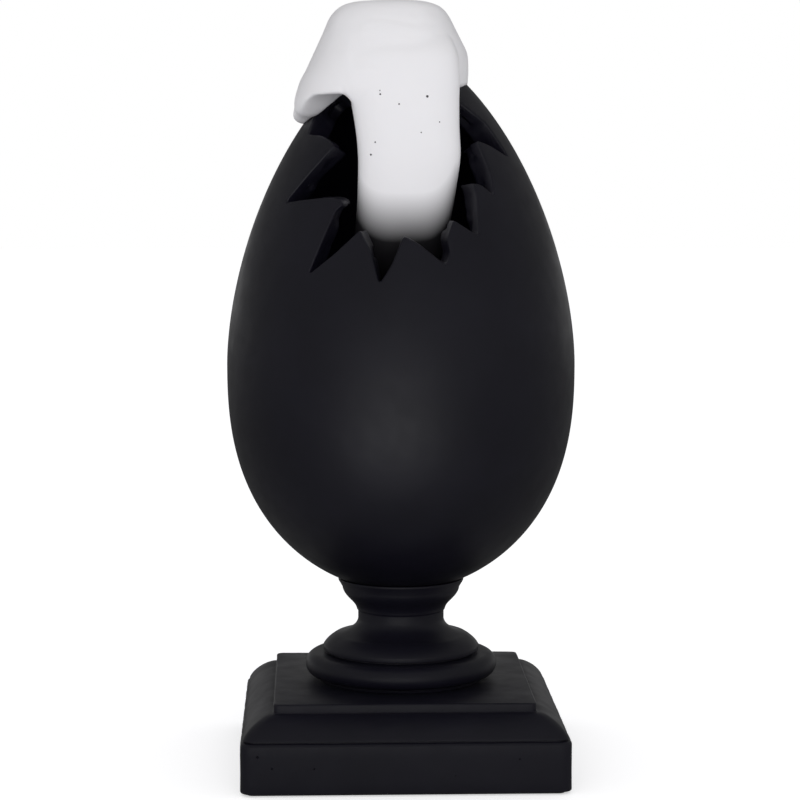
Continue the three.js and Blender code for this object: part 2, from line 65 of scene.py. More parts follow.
Row = tuple[float, ...]
Points = Sequence[Vector]
Solid = bpy.types.Object
Tree = bpy.types.NodeTree
Node = bpy.types.Node
Socket = bpy.types.NodeSocket


class Slot(Enum):
    """Material slots of the record."""

    BLACK_RESIN = "black_resin"
    WHITE_RESIN = "white_resin"
    STEEL = "zinc_steel"
    FELT = "felt"


class Join(Enum):
    """Ways to join or cut one solid with another."""

    ADD = "UNION"
    CUT = "DIFFERENCE"


def at(x: float, y: float, z: float) -> Vector:
    """A place in metres from millimetres."""
    return Vector((x, y, z)) * MM


def around(radius: float, azimuth: float, height: float) -> Vector:
    """A place in metres at a radius, azimuth and height in millimetres."""
    angle = math.radians(azimuth)
    return at(radius * math.sin(angle), -radius * math.cos(angle), height)


def soften(share: float) -> float:
    """A share from 0 to 1, eased at both ends."""
    return share * share * (3 - 2 * share)


def row_at(table: Sequence[Row], place: float) -> list[float]:
    """A table's other values at a place along its first column, on smooth curves through its rows."""
    place = min(max(place, table[0][0]), table[-1][0])
    last = len(table) - 1
    low = max(i for i in range(last) if i == 0 or table[i][0] <= place)
    before, here, there, after = (table[min(max(low + i, 0), last)] for i in (-1, 0, 1, 2))
    span = there[0] - here[0]
    share = (place - here[0]) / span
    cube, square = share**3, share**2
    values = []
    for a, b, c, d in list(zip(before, here, there, after))[1:]:
        slope_here = (c - a) / (there[0] - before[0]) * span
        slope_there = (d - b) / (after[0] - here[0]) * span
        value = (2 * cube - 3 * square + 1) * b + (cube - 2 * square + share) * slope_here
        values.append(value + (3 * square - 2 * cube) * c + (cube - square) * slope_there)
    return values


class Bench:
    """Modelling steps that all sub-assemblies share."""

    # Share of a pit's radius that its ball's middle lies behind the face
    SINK = 0.35

    @staticmethod
    def clear() -> None:
        """Leaves edit mode and selects nothing."""
        if bpy.context.object and bpy.context.object.mode != "OBJECT":
            bpy.ops.object.mode_set(mode="OBJECT")
        bpy.ops.object.select_all(action="DESELECT")

    @classmethod
    def hold(cls, piece: Solid) -> None:
        """Selects one piece alone and makes it the active one."""
        cls.clear()
        piece.select_set(True)
        bpy.context.view_layer.objects.active = piece

    @classmethod
    def edit(cls, piece: Solid, mode: str = "VERT") -> None:
        """Opens a piece in edit mode with nothing selected."""
        cls.hold(piece)
        bpy.ops.object.mode_set(mode="EDIT")
        bpy.ops.mesh.select_mode(type=mode)
        bpy.ops.mesh.select_all(action="DESELECT")

    @classmethod
    def modify(cls, piece: Solid, kind: str, **settings: Any) -> None:
        """Adds a modifier to a piece and applies it."""
        cls.hold(piece)
        bpy.ops.object.modifier_add(type=kind)
        modifier = piece.modifiers[-1]
        for name, value in settings.items():
            setattr(modifier, name, value)
        bpy.ops.object.modifier_apply(modifier=modifier.name)

    @classmethod
    def close(cls, piece: Solid) -> Solid:
        """Merges a piece's doubled points and turns its faces outwards."""
        cls.edit(piece)
        bpy.ops.mesh.select_all(action="SELECT")
        bpy.ops.mesh.remove_doubles(threshold=DOUBLED * MM)
        bpy.ops.mesh.normals_make_consistent(inside=False)
        if bmesh.from_edit_mesh(piece.data).calc_volume(signed=True) < 0:
            bpy.ops.mesh.flip_normals()
        cls.clear()
        return piece

    @classmethod
    def turned(cls, name: str, profile: Sequence[Row], sides: int) -> Solid:
        """Draws a profile edge by edge and turns it about the upright axis, as on a lathe.

        Args:
            name: Name of the new piece.
            profile: Radius and height of each point, from axis to axis or closed on itself.
            sides: Steps in the whole turn.

        Returns:
            The closed solid.
        """
        points = [at(radius, 0, height) for radius, height in profile]
        cls.clear()
        bpy.ops.mesh.primitive_plane_add(size=2 * MM)
        piece = bpy.context.object
        piece.name = name
        bpy.ops.object.mode_set(mode="EDIT")
        bpy.ops.mesh.merge(type="CENTER")
        bpy.ops.transform.translate(value=points[0])
        for here, there in zip(points, points[1:]):
            bpy.ops.mesh.extrude_region_move(TRANSFORM_OT_translate={"value": there - here})
        cls.modify(piece, "SCREW", angle=2 * math.pi, steps=sides, render_steps=sides)
        return cls.close(piece)

    @classmethod
    def lofted(cls, name: str, rings: Sequence[Points], drawn: Points | None = None) -> Solid:
        """Extrudes a filled ring of points through further rings with the same count.

        Args:
            name: Name of the new piece.
            rings: Places of each ring's points in metres.
            drawn: Flat places of the first ring, by which its filling is cut into triangles.

        Returns:
            The closed solid.
        """
        cls.clear()
        bpy.ops.mesh.primitive_circle_add(vertices=len(rings[0]), radius=MM, fill_type="NGON")
        piece = bpy.context.object
        piece.name = name
        bpy.ops.object.mode_set(mode="EDIT")
        bpy.ops.mesh.select_all(action="SELECT")
        draft = bmesh.from_edit_mesh(piece.data)
        seat = draft.verts.layers.int.new("seat")
        for vertex in draft.verts:
            vertex[seat] = vertex.index
        cls._place(piece, drawn or rings[0])
        bpy.ops.mesh.quads_convert_to_tris(ngon_method="BEAUTY")
        cls._place(piece, rings[0])
        for ring in rings[1:]:
            bpy.ops.mesh.extrude_region_move()
            cls._place(piece, ring)
        cls.clear()
        piece.data.attributes.remove(piece.data.attributes["seat"])
        return cls.close(piece)

    @staticmethod
    def _place(piece: Solid, points: Points) -> None:
        """Moves the selected points, each to the place that its seat number names."""
        draft = bmesh.from_edit_mesh(piece.data)
        seat = draft.verts.layers.int["seat"]
        for vertex in draft.verts:
            if vertex.select:
                vertex.co = points[vertex[seat]]
        bmesh.update_edit_mesh(piece.data)

    @staticmethod
    def pick(piece: Solid, test: Callable[[Any], bool]) -> None:
        """Selects the edges of the open piece that pass a test."""
        draft = bmesh.from_edit_mesh(piece.data)
        for edge in draft.edges:
            edge.select_set(bool(test(edge)))
        draft.select_flush_mode()
        bmesh.update_edit_mesh(piece.data)

    @classmethod
    def combine(cls, piece: Solid, tool: Solid, way: Join = Join.CUT) -> None:
        """Cuts a piece with a tool, or joins them, and uses the tool up."""
        cls.modify(piece, "BOOLEAN", object=tool, operation=way.value, solver="MANIFOLD")
        bpy.data.objects.remove(tool)

    @staticmethod
    def settle() -> Solid:
        """Bakes place, turn and size into the piece just added, and returns it."""
        bpy.ops.object.transform_apply(location=True, rotation=True, scale=True)
        return bpy.context.object

    @classmethod
    def bar(cls, radius: float, low: float, high: float, y: float = 0, sides: int = 48) -> Solid:
        """A round bar between two heights, to cut a hole with."""
        cls.clear()
        middle = at(0, y, (low + high) / 2)
        size = {"radius": radius * MM, "depth": (high - low) * MM, "location": middle}
        bpy.ops.mesh.primitive_cylinder_add(vertices=sides, **size)
        return cls.settle()

    @classmethod
    def bubbles(cls, places: Sequence[tuple[Vector, float]]) -> Solid:
        """Balls that leave small pits in a front face.

        Args:
            places: Each pit's place on the face in metres and its radius in millimetres.
        """
        drops = []
        for place, radius in places:
            cls.clear()
            size = {"radius": radius * MM, "location": place + at(0, cls.SINK * radius, 0)}
            bpy.ops.mesh.primitive_ico_sphere_add(subdivisions=2, **size)
            drops.append(cls.settle())
        cls.clear()
        for drop in drops:
            drop.select_set(True)
        bpy.context.view_layer.objects.active = drops[0]
        bpy.ops.object.join()
        return drops[0]

    @staticmethod
    def slots(piece: Solid, count: int) -> Solid:
        """Gives a piece empty material slots."""
        for _ in range(count - len(piece.data.materials)):
            piece.data.materials.append(None)
        return piece

    @classmethod
    def line(cls, piece: Solid, slot: int) -> Solid:
        """Moves all faces of a piece to one of its material slots."""
        for face in cls.slots(piece, slot + 1).data.polygons:
            face.material_index = slot
        return piece

    @classmethod
    def turn(cls, piece: Solid, angle: float) -> None:
        """Turns a piece about the upright axis by an angle in degrees, anticlockwise from above."""
        cls.edit(piece)
        bpy.ops.mesh.select_all(action="SELECT")
        turned = {"value": -math.radians(angle), "orient_axis": "Z", "center_override": (0, 0, 0)}
        bpy.ops.transform.rotate(**turned)
        cls.clear()

    @classmethod
    def smooth(cls, piece: Solid, angle: float) -> None:
        """Shades a piece smooth up to an angle in degrees."""
        cls.hold(piece)
        bpy.ops.object.shade_smooth_by_angle(angle=math.radians(angle))
        cls.clear()


def arc(middle: Row, reach: Row, start: float, end: float, steps: int) -> list[Row]:
    """Radius and height of points on an elliptical arc.

    Args:
        middle: Radius and height of the arc's centre.
        reach: Half width and half height of the ellipse.
        start: First angle in degrees, from outwards towards upwards.
        end: Last angle in degrees.
        steps: Pieces that the arc is cut into.
    """
    angles = [math.radians(start + (end - start) * i / steps) for i in range(steps + 1)]
    return [(middle[0] + reach[0] * math.cos(a), middle[1] + reach[1] * math.sin(a)) for a in angles]


def sweep(pulls: Sequence[Row], steps: int) -> list[Row]:
    """Radius and height of points on a curve from the first pull to the last, bent by the others."""
    curve = []
    for i in range(steps + 1):
        level = list(pulls)
        while len(level) > 1:
            pairs = zip(level, level[1:])
            level = [tuple(a + (b - a) * i / steps for a, b in zip(*pair)) for pair in pairs]
        curve.append(level[0])
    return curve


def colour(code: str) -> tuple[float, float, float, float]:
    """A linear colour from an sRGB hex code."""
    values = [int(code[i : i + 2], 16) / 255 for i in (0, 2, 4)]
    linear = [v / 12.92 if v <= 0.04045 else ((v + 0.055) / 1.055) ** 2.4 for v in values]
    return (*linear, 1.0)


def cleared(owner: Any) -> Tree:
    """Empty node tree of a new material or world."""
    owner.use_nodes = True
    owner.node_tree.nodes.clear()
    return owner.node_tree


def feed(tree: Tree, node: Node, inputs: dict[Any, Any]) -> None:
    """Gives each socket named its value, or links another node's output to it."""
    for name, value in inputs.items():
        if isinstance(value, Socket):
            tree.links.new(value, node.inputs[name])
        else:
            node.inputs[name].default_value = value


def add_node(
    tree: Tree,
    kind: str,
    settings: dict[str, Any] | None = None,
    inputs: dict[Any, Any] | None = None,
) -> Node:
    """Adds one node to a tree.

    Args:
        tree: The tree that gets the node.
        kind: The node's type name.
        settings: Values of its own properties.
        inputs: What feeds each socket named.
    """
    node = tree.nodes.new(kind)
    for name, value in (settings or {}).items():
        setattr(node, name, value)
    feed(tree, node, inputs or {})
    return node


def calculate(tree: Tree, operation: str, *values: Any, clamp: bool = False) -> Socket:
    """Result of a calculation with sockets and numbers, as a node of the tree."""
    settings = {"operation": operation, "use_clamp": clamp}
    return add_node(tree, "ShaderNodeMath", settings, dict(enumerate(values))).outputs[0]


@dataclass(frozen=True)
class Finish:
    """A surface finish: the plain values of its shader."""

    name: str
    base: str
    roughness: float
    ior: float = 1.5
    metallic: float = 0.0

    def material(self) -> bpy.types.Material:
        """Builds the finish as a material, dressed with its patterns."""
        material = bpy.data.materials.new(self.name)
        tree = cleared(material)
        place = add_node(tree, "ShaderNodeTexCoord").outputs["Object"]
        values = {"Base Color": colour(self.base), "Roughness": self.roughness}
        values |= {"IOR": self.ior, "Metallic": self.metallic}
        shader = add_node(tree, "ShaderNodeBsdfPrincipled", inputs=values)
        feed(tree, shader, self.dress(tree, place))
        add_node(tree, "ShaderNodeOutputMaterial", inputs={"Surface": shader.outputs["BSDF"]})
        return material

    def dress(self, tree: Tree, place: Socket) -> dict[str, Any]:
        """Patterns and values for the shader's inputs; the plain finish has none."""
        return {}

    @staticmethod
    def grain(tree: Tree, place: Socket, size: float, detail: float = 2) -> Socket:
        """A noise whose blotches are about size millimetres across."""
        inputs = {"Vector": place, "Scale": 1 / (size * MM), "Detail": detail}
        return add_node(tree, "ShaderNodeTexNoise", inputs=inputs).outputs["Fac"]

    @staticmethod
    def between(tree: Tree, value: Socket, low: Row, high: Row) -> Socket:
        """Maps a value from the range low to the range high, clamped."""
        names = ("From Min", "From Max", "To Min", "To Max")
        inputs = {"Value": value, **dict(zip(names, (*low, *high)))}
        return add_node(tree, "ShaderNodeMapRange", inputs=inputs).outputs["Result"]

    def tint(self, tree: Tree, share: Socket, other: str) -> Socket:
        """The colour, turned from the base to another by a share."""
        inputs = {"Factor": share, 6: colour(self.base), 7: colour(other)}
        return add_node(tree, "ShaderNodeMix", {"data_type": "RGBA"}, inputs).outputs[2]

    @staticmethod
    def relief(tree: Tree, height: Socket, depth: float, over: Socket | None = None) -> Socket:
        """A bump of a depth in millimetres, over an earlier bump if there is one."""
        inputs = {"Height": height, "Distance": depth * MM, "Strength": 1.0}
        if over is not None:
            inputs["Normal"] = over
        return add_node(tree, "ShaderNodeBump", inputs=inputs).outputs["Normal"]


@dataclass(frozen=True)
class BlackResin(Finish):
    """Polyurethane casting resin dyed black in the mass, rubbed to a satin.

    It looks deep black with a soft sheen, a little uneven where it was rubbed, with fine dust nibs.
    """

    name: str = "satin black casting resin"
    base: str = "0C0B16"
    roughness: float = 0.42
    paler: str = "11101B"

    def dress(self, tree: Tree, place: Socket) -> dict[str, Any]:
        """Clouded tone, rubbed patches and the fine skin of the casting."""
        clouds = self.between(tree, self.grain(tree, place, 34, 3), (0.3, 0.7), (0, 1))
        sheen = (self.roughness - 0.03, self.roughness + 0.04)
        rubbed = self.between(tree, self.grain(tree, place, 9, 3), (0.3, 0.7), sheen)
        skin = self.relief(tree, self.grain(tree, place, 1.1, 2), 0.012)
        wave = self.relief(tree, self.grain(tree, place, 16, 1), 0.25, skin)
        tone = self.tint(tree, clouds, self.paler)
        return {"Base Color": tone, "Roughness": rubbed, "Normal": wave}


@dataclass(frozen=True)
class WhiteResin(Finish):
    """White casting resin, poured thick and left as it set: milky, silky and slightly see-through."""

    name: str = "white poured resin"
    base: str = "ECEBEE"
    roughness: float = 0.42
    # Painted shade: the run darkens towards this colour low down, where it hangs into the dark hollow
    # of the egg
    painted_shade: str = "1B1A1D"
    shade_top: float = 271.0
    shade_foot: float = 248.5
    shade_middle: float = -0.4
    shade_half: float = 23.0
    shade_bow: float = 14.0

    def dress(self, tree: Tree, place: Socket) -> dict[str, Any]:
        """Milky depth, flow marks, and painted shade that darkens the run's lower end down in the
        hollow.
        """
        depth = {"Subsurface Weight": 0.12, "Subsurface Scale": 2 * MM}
        depth["Subsurface Radius"] = (1.0, 0.95, 0.9)
        axes = add_node(tree, "ShaderNodeSeparateXYZ", inputs={"Vector": place}).outputs
        # The painted shade climbs higher along both sides of the run
        scale, shift = 1 / (self.shade_half * MM), -self.shade_middle / self.shade_half
        aside = calculate(tree, "MULTIPLY_ADD", axes["X"], scale, shift)
        square = calculate(tree, "MULTIPLY", aside, aside)
        fourth = calculate(tree, "MULTIPLY", square, square, clamp=True)
        level = calculate(tree, "MULTIPLY_ADD", fourth, -self.shade_bow * MM, axes["Z"])
        # Painted shade share: full below the foot height, none above the top height
        shade_share = self.between(tree, level, (self.shade_foot * MM, self.shade_top * MM), (1, 0))
        tone = self.tint(tree, shade_share, self.painted_shade)
        skin = self.relief(tree, self.grain(tree, place, 1.6, 2), 0.01)
        flow = self.relief(tree, self.grain(tree, place, 11, 1), 0.16, skin)
        # Wrinkles of the skin that set first, only on top: bands that the distortion folds
        bands = {"Vector": place, "Scale": 34, "Distortion": 9, "Detail": 1, "Detail Scale": 1.2}
        wrinkle = add_node(tree, "ShaderNodeTexWave", {"bands_direction": "Z"}, bands).outputs["Fac"]
        crown = self.between(tree, axes["Z"], (0.339, 0.347), (0, 1))
        raised = calculate(tree, "MULTIPLY", wrinkle, crown)
        return {**depth, "Base Color": tone, "Normal": self.relief(tree, raised, 0.22, flow)}


@dataclass(frozen=True)
class PinholeDustAndShade(Finish):
    """Grey inside the pinholes of the white resin: caught polishing dust together with painted shade of
    the cavities, dull and crumbly.
    """

    name: str = "grey pinhole dust and painted shade"
    base: str = "747275"
    roughness: float = 0.9

    def dress(self, tree: Tree, place: Socket) -> dict[str, Any]:
        """The crumbs' tone."""
        crumbs = self.between(tree, self.grain(tree, place, 0.3, 2), (0.35, 0.65), (0, 1))
        return {"Base Color": self.tint(tree, crumbs, "5C5A5D")}


@dataclass(frozen=True)
class ZincSteel(Finish):
    """Zinc plated steel: pale grey metal with a dull shine, cloudy from the plating bath."""

    name: str = "zinc plated steel"
    base: str = "B9BCC0"
    roughness: float = 0.34
    metallic: float = 1.0

    def dress(self, tree: Tree, place: Socket) -> dict[str, Any]:
        """The plating's clouds and a fine grain."""
        clouds = self.between(tree, self.grain(tree, place, 3, 3), (0.3, 0.7), (0, 1))
        tone = self.tint(tree, clouds, "A4A7AA")
        dull = self.between(tree, clouds, (0, 1), (self.roughness - 0.06, self.roughness + 0.08))
        fine = self.relief(tree, self.grain(tree, place, 0.25, 2), 0.01)
        return {"Base Color": tone, "Roughness": dull, "Normal": fine}


@dataclass(frozen=True)
class BlackFelt(Finish):
    """Pressed wool felt, dyed black: no shine, short fibres that lie every way."""

    name: str = "pressed black felt"
    base: str = "151517"
    roughness: float = 0.95

    def dress(self, tree: Tree, place: Socket) -> dict[str, Any]:
        """The fibres' tone, nap and sheen."""
        sheen = {"Sheen Weight": 0.5, "Sheen Roughness": 0.5}
        # Fibres are about 0.03 mm thick and are drawn at 0.35 mm so that they show
        fibres = self.grain(tree, place, 0.35, 4)
        tone = self.tint(tree, self.between(tree, fibres, (0.35, 0.65), (0, 1)), "29292C")
        nap = self.relief(tree, fibres, 0.12)
        felted = self.relief(tree, self.grain(tree, place, 4, 2), 0.15, nap)
        return {**sheen, "Base Color": tone, "Normal": felted}


class Assembly:
    """A sub-assembly of the sculpture: builds its pieces and hands them over."""

    @staticmethod
    def hand_over(piece: Solid, finish: Finish, slot: Slot, node: str) -> None:
        """Dresses a finished piece, puts it on the body and lets it stand for a CAD node."""
        Bench.slots(piece, 1)
        piece.data.materials[0] = finish.material()
        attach(piece, BODY)
        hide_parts(node)
        LOG.info("%s: %d faces, stands for %s", piece.name, len(piece.data.polygons), node)

    def build(self) -> None:
        """Builds every piece of the sub-assembly."""
        raise NotImplementedError


@dataclass(frozen=True)
class EggForm:
    """Outline of the unbroken egg."""

    radius: float = 82.2
    middle: float = 189.7
    # Height, taper and roundness of its upper and its lower part
    upper: Row = (150.0, 1.75, 1.6)
    lower: Row = (108.5, 2.5, 1.9)
    wall: float = 11.0
    hollow_floor: float = 110.2
    turn: float = -2.0

    @property
    def top(self) -> float:
        """Height of the apex."""
        return self.middle + self.upper[0]

    @property
    def bottom(self) -> float:
        """Height of the lowest point."""
        return self.middle - self.lower[0]

    def radius_at(self, height: float) -> float:
        """Outer radius at a height."""
        rise = height - self.middle
        reach, taper, roundness = self.upper if rise > 0 else self.lower
        return self.radius * max(0.0, 1 - (abs(rise) / reach) ** taper) ** (1 / roundness)

    def outline(self, offset: float, steps: int) -> list[Row]:
        """Outline from bottom to apex, moved outwards along its own slope.

        Args:
            offset: How far outwards, or inwards where it is negative.
            steps: Pieces in each half of the outline.

        Returns:
            Radius and height of each point.
        """
        points: list[Row] = [(0.0, self.bottom - offset)]
        for i in range(1 - steps, steps):
            share = math.sin(i / steps * math.pi / 2)
            height = self.middle + share * (self.lower if i < 0 else self.upper)[0]
            slope = (self.radius_at(height + 0.01) - self.radius_at(height - 0.01)) / 0.02
            length = math.hypot(1, slope)
            radius = self.radius_at(height) + offset / length
            if radius > 0:
                points.append((radius, height - offset * slope / length))
        return [*points, (0.0, self.top + offset)]

    def whole(self, name: str, offset: float, steps: int = 48, sides: int = 144) -> Solid:
        """The unbroken egg as a solid."""
        return Bench.turned(name, self.outline(offset, steps), sides)

    def hollow(self, name: str, offset: float, steps: int = 40, sides: int = 128) -> Solid:
        """The space inside the shell, with its flat floor and a rounded corner round it."""
        wall = [p for p in self.outline(offset - self.wall, steps) if p[1] > self.hollow_floor + 3]
        edge, floor = wall[0], self.hollow_floor - offset
        corner = sweep([(edge[0] - 8, floor), (edge[0] - 3, floor), edge], 5)
        return Bench.turned(name, [(0, floor), *corner[:-1], *wall], sides)


@dataclass(frozen=True)
class Break:
    """The jagged hole: its outline, and how the broken wall runs through the shell."""

    egg: EggForm = EggForm()
    level_from: float = 70.0
    tilt: float = 45.0
    tilt_full: float = 20.0
    edge_round: float = 0.9
    spacing: float = 1.3
    chip: float = 0.7
    spall: float = 1.8
    spall_size: float = 10.0
    core: float = 3.0
    flare: float = 1.4
    overrun: float = 3.0
    inner_end: float = -400.0

    # Angles round the rounded edge at each face of the wall, and levels between as shares of the wall
    EDGE_TURNS = (0, 28, 56, 80)
    WALL_LEVELS = (0.78, 0.6, 0.45, 0.3)
    # Azimuth and depth below the apex of the hole's corners
    OUTLINE = (
        (-74, 25), (-68.4, 30.4), (-64.7, 36), (-60.6, 42.4), (-48, 42.6), (-39.6, 44.8), (-35.5, 47.5),
        (-44.7, 59.9), (-54, 73.5), (-43.7, 72.1), (-33.4, 70.9), (-25.7, 71.2), (-22.7, 73.4),
        (-26.1, 76.6), (-29, 87.8), (-33.2, 105), (-24.2, 95.7), (-15.2, 84.8), (-10.9, 93.2),
        (-7.2, 108.6), (-3.2, 100.2), (1, 87.3), (6.4, 90.9), (15.7, 100.3), (17.5, 95.9), (16.9, 88.8),
        (20.2, 80.4), (29.6, 87.8), (32.7, 68.7), (31.9, 64.1), (36.9, 65.2), (41.7, 70.3), (43.5, 59),
        (42.7, 44.8), (50.5, 46.8), (63.9, 52.6), (59.1, 37.3), (44.8, 28.3),
        (24, 22), (0, 18.5), (-30, 18), (-58, 20.5),
    )  # fmt: skip

    def point(self, azimuth: float, depth: float, out: float) -> Vector:
        """A point on the line on which the wall breaks through one outline point.

        Args:
            azimuth: Of the outline point.
            depth: Of the outline point below the apex.
            out: Distance outwards from the egg's surface, along the line.

        Returns:
            The place in metres.
        """
        height = self.egg.top - depth
        share = (self.level_from - depth) / (self.level_from - self.tilt_full)
        tilt = math.radians(self.tilt) * min(1.0, max(0.0, share))
        radius = self.egg.radius_at(height)
        along = max(out, -(radius - self.core) / math.cos(tilt))
        return around(radius + along * math.cos(tilt), azimuth, height + along * math.sin(tilt))

    def divided(self) -> list[Row]:
        """Azimuth and depth of close points along the outline, its corners a little blunted."""
        points: list[Row] = []
        for here, there in zip(self.OUTLINE, (*self.OUTLINE[1:], self.OUTLINE[0])):
            length = (self.point(*here, 0) - self.point(*there, 0)).length / MM
            count = max(2, round(length / self.spacing))
            shares = [i / count for i in range(count)]
            points += [tuple(a + (b - a) * s for a, b in zip(here, there)) for s in shares]
        for _ in range(2):
            sides = zip(points[-1:] + points[:-1], points, points[1:] + points[:1])
            points = [tuple((a + 2 * b + c) / 4 for a, b, c in zip(*trio)) for trio in sides]
        return points

    def sideways(self, points: Sequence[Row]) -> list[Vector]:
        """Direction from the hole into the wall at each outline point, shorter at sharp corners."""
        places = [self.point(*p, 0) for p in points]
        count = len(points)
        aside = []
        for i, place in enumerate(places):
            along = (places[(i + 1) % count] - places[i - 1]).normalized()
            outward = (self.point(*points[i], 1) - place).normalized()
            aside.append(along.cross(outward).normalized())
        return [(aside[i - 1] + 2 * aside[i] + aside[(i + 1) % count]) / 4 for i in range(count)]

    def wedge(self, name: str, inward: float = 0.0) -> Solid:
        """The wedge that breaks the hole, wider at both faces of the wall so that its edges are round.

        Args:
            name: Name of the new piece.
            inward: How much smaller than the hole, to cut the pour to its seat.

        Returns:
            The closed wedge.
        """
        points = self.divided()
        aside = self.sideways(points)
        turns = [math.radians(angle) for angle in self.EDGE_TURNS]
        size, wall, wide_end = self.edge_round, self.egg.wall, self.edge_round * self.flare
        inner = [(size * math.sin(t) - size, size - size * math.cos(t)) for t in turns]
        middle = [(-wall * share, None) for share in self.WALL_LEVELS]
        rings = [(self.inner_end, size), (-wall - self.overrun, wide_end)]
        rings += [(-wall - out, wide) for out, wide in reversed(inner)]
        rings += [*middle, *inner, (self.overrun, wide_end), (4 * self.egg.radius, wide_end)]
        steps = [self.ledge(self.point(*point, -wall)) for point in points]
        places = []
        for out, wide in rings:
            ring = []
            for point, side, step in zip(points, aside, steps):
                place = self.point(*point, out)
                back = self.chipped(place) if wide is None else wide
                if out < -wall / 2:
                    back += step
                ring.append(place + side * MM * (back - inward))
            places.append(ring)
        drawn = [Vector((azimuth, 0, -depth)) for azimuth, depth in points]
        return Bench.lofted(name, places, drawn)

    def ledge(self, place: Vector) -> float:
        """How far the inner half of the wall is spalled off at a place, in millimetres."""
        share = 3 * noise.noise(place / (self.spall_size * MM)) + 0.3
        return self.spall * soften(min(1.0, max(0.0, share)))

    def chipped(self, place: Vector) -> float:
        """How far the broken wall stands back at a place, in millimetres."""
        coarse = noise.noise(place / (13 * MM))
        fine = noise.noise(place / (3.5 * MM))
        return self.chip * (coarse + 0.25 * fine)


@dataclass
class Shell(Assembly):
    """The broken egg shell."""

    egg: EggForm = EggForm()
    hole: Break = Break()
    nut_flats: float = 13.6
    nut_pocket_top: float = 101.8
    pin_foot: float = 331.9

    def build(self) -> None:
        """Turns the egg, hollows it and breaks it open."""
        shell = self.egg.whole("broken_egg_shell", 0.0, steps=72, sides=224)
        Bench.combine(shell, self.egg.hollow("hollow", 0.0))
        Bench.combine(shell, self.hole.wedge("wedge"))
        pocket_radius = self.nut_flats / math.sqrt(3)
        pocket = Bench.bar(pocket_radius, self.egg.bottom - 2, self.nut_pocket_top, sides=6)
        Bench.combine(shell, pocket)
        pin = Bench.bar(PIN_RADIUS, self.pin_foot, self.egg.top + 5, PIN_BACK)
        Bench.combine(shell, pin)
        Bench.turn(shell, self.egg.turn)
        Bench.smooth(shell, CREASE)
        self.hand_over(shell, BlackResin(), Slot.BLACK_RESIN, "egg_shell")


